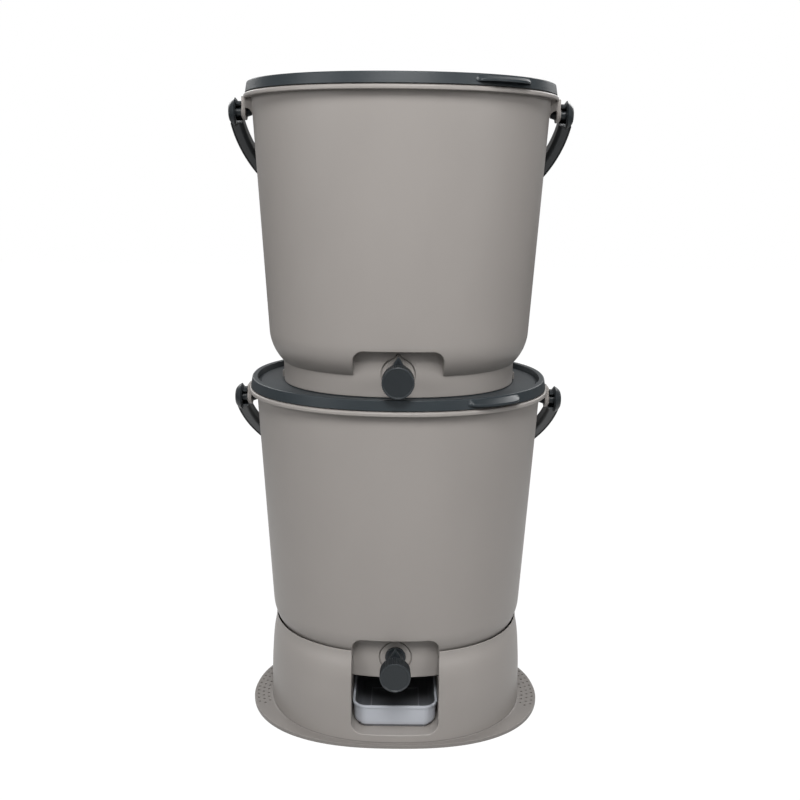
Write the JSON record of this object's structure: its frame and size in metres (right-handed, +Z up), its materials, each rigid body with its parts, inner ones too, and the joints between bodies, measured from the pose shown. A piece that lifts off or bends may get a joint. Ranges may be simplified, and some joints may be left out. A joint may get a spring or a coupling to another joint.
{
  "type": "bokashi bin",
  "caption": "Stacked kitchen composting buckets with lids, bail handles and drain taps, on a hollow stand that holds a pull-out juice tray.",
  "frame": {"origin": "on the floor, under the middle of the stand and the buckets", "axes": "+Z up; the taps and the tray's mouth face -Y; the handles turn about X"},
  "size_m": [0.35, 0.299, 0.6594],
  "materials": {
    "stand_plastic": "fine satin moulded surface",
    "bucket_plastic": "fine satin moulded surface",
    "lid_plastic": "fine matte texture",
    "handle_plastic": "satin",
    "strainer_plastic": "satin",
    "tap_plastic": "satin",
    "knob_plastic": "satin",
    "seal_rubber": "matte",
    "tray_plastic": "smooth"
  },
  "bodies": {
    "stand": {"stand": "stand_plastic"},
    "tray": {"juice_tray": "tray_plastic"},
    "lower_bin": {"lower_bucket": "bucket_plastic", "lower_tap_barrel": "tap_plastic", "lower_tap_nut": "tap_plastic", "lower_tap_washer": "seal_rubber", "lower_tap_o_ring": "seal_rubber"},
    "lower_strainer": {"lower_strainer": "strainer_plastic"},
    "lower_lid": {"lower_lid": "lid_plastic", "lower_lid_seal": "seal_rubber"},
    "lower_handle": {"lower_handle": "handle_plastic"},
    "lower_knob": {"lower_tap_knob": "knob_plastic"},
    "upper_bin": {"upper_bucket": "bucket_plastic", "upper_tap_barrel": "tap_plastic", "upper_tap_nut": "tap_plastic", "upper_tap_washer": "seal_rubber", "upper_tap_o_ring": "seal_rubber"},
    "upper_strainer": {"upper_strainer": "strainer_plastic"},
    "upper_lid": {"upper_lid": "lid_plastic", "upper_lid_seal": "seal_rubber"},
    "upper_handle": {"upper_handle": "handle_plastic"},
    "upper_knob": {"upper_tap_knob": "knob_plastic"}
  },
  "joints": [
    {"name": "tray_slide", "type": "slide", "parent": "stand", "child": "tray", "axis": [0, -1, 0], "range_m": [0, 0.16]},
    {"name": "lower_bin_lift", "type": "slide", "parent": "stand", "child": "lower_bin", "axis": [0, 0, 1], "range_m": [0, 0.1]},
    {"name": "lower_strainer_lift", "type": "slide", "parent": "lower_bin", "child": "lower_strainer", "axis": [0, 0, 1], "range_m": [0, 0.2]},
    {"name": "lower_lid_lift", "type": "slide", "parent": "lower_bin", "child": "lower_lid", "axis": [0, 0, 1], "range_m": [0, 0.02]},
    {"name": "lower_handle_swing", "type": "hinge", "parent": "lower_bin", "child": "lower_handle", "pos_m": [0, 0, 0.3373], "axis": [1, 0, 0], "range_deg": [0, 82]},
    {"name": "lower_knob_turn", "type": "hinge", "parent": "lower_bin", "child": "lower_knob", "pos_m": [0, -0.14, 0.0875], "axis": [0, 1, 0], "range_deg": [0, 90]},
    {"name": "upper_bin_lift", "type": "slide", "parent": "lower_lid", "child": "upper_bin", "axis": [0, 0, 1], "range_m": [0, 0.1]},
    {"name": "upper_strainer_lift", "type": "slide", "parent": "upper_bin", "child": "upper_strainer", "axis": [0, 0, 1], "range_m": [0, 0.2]},
    {"name": "upper_lid_lift", "type": "slide", "parent": "upper_bin", "child": "upper_lid", "axis": [0, 0, 1], "range_m": [0, 0.15]},
    {"name": "upper_handle_swing", "type": "hinge", "parent": "upper_bin", "child": "upper_handle", "pos_m": [0, 0, 0.6325], "axis": [1, 0, 0], "range_deg": [0, 263]},
    {"name": "upper_knob_turn", "type": "hinge", "parent": "upper_bin", "child": "upper_knob", "pos_m": [0, -0.14, 0.3827], "axis": [0, 1, 0], "range_deg": [0, 90]}
  ]
}
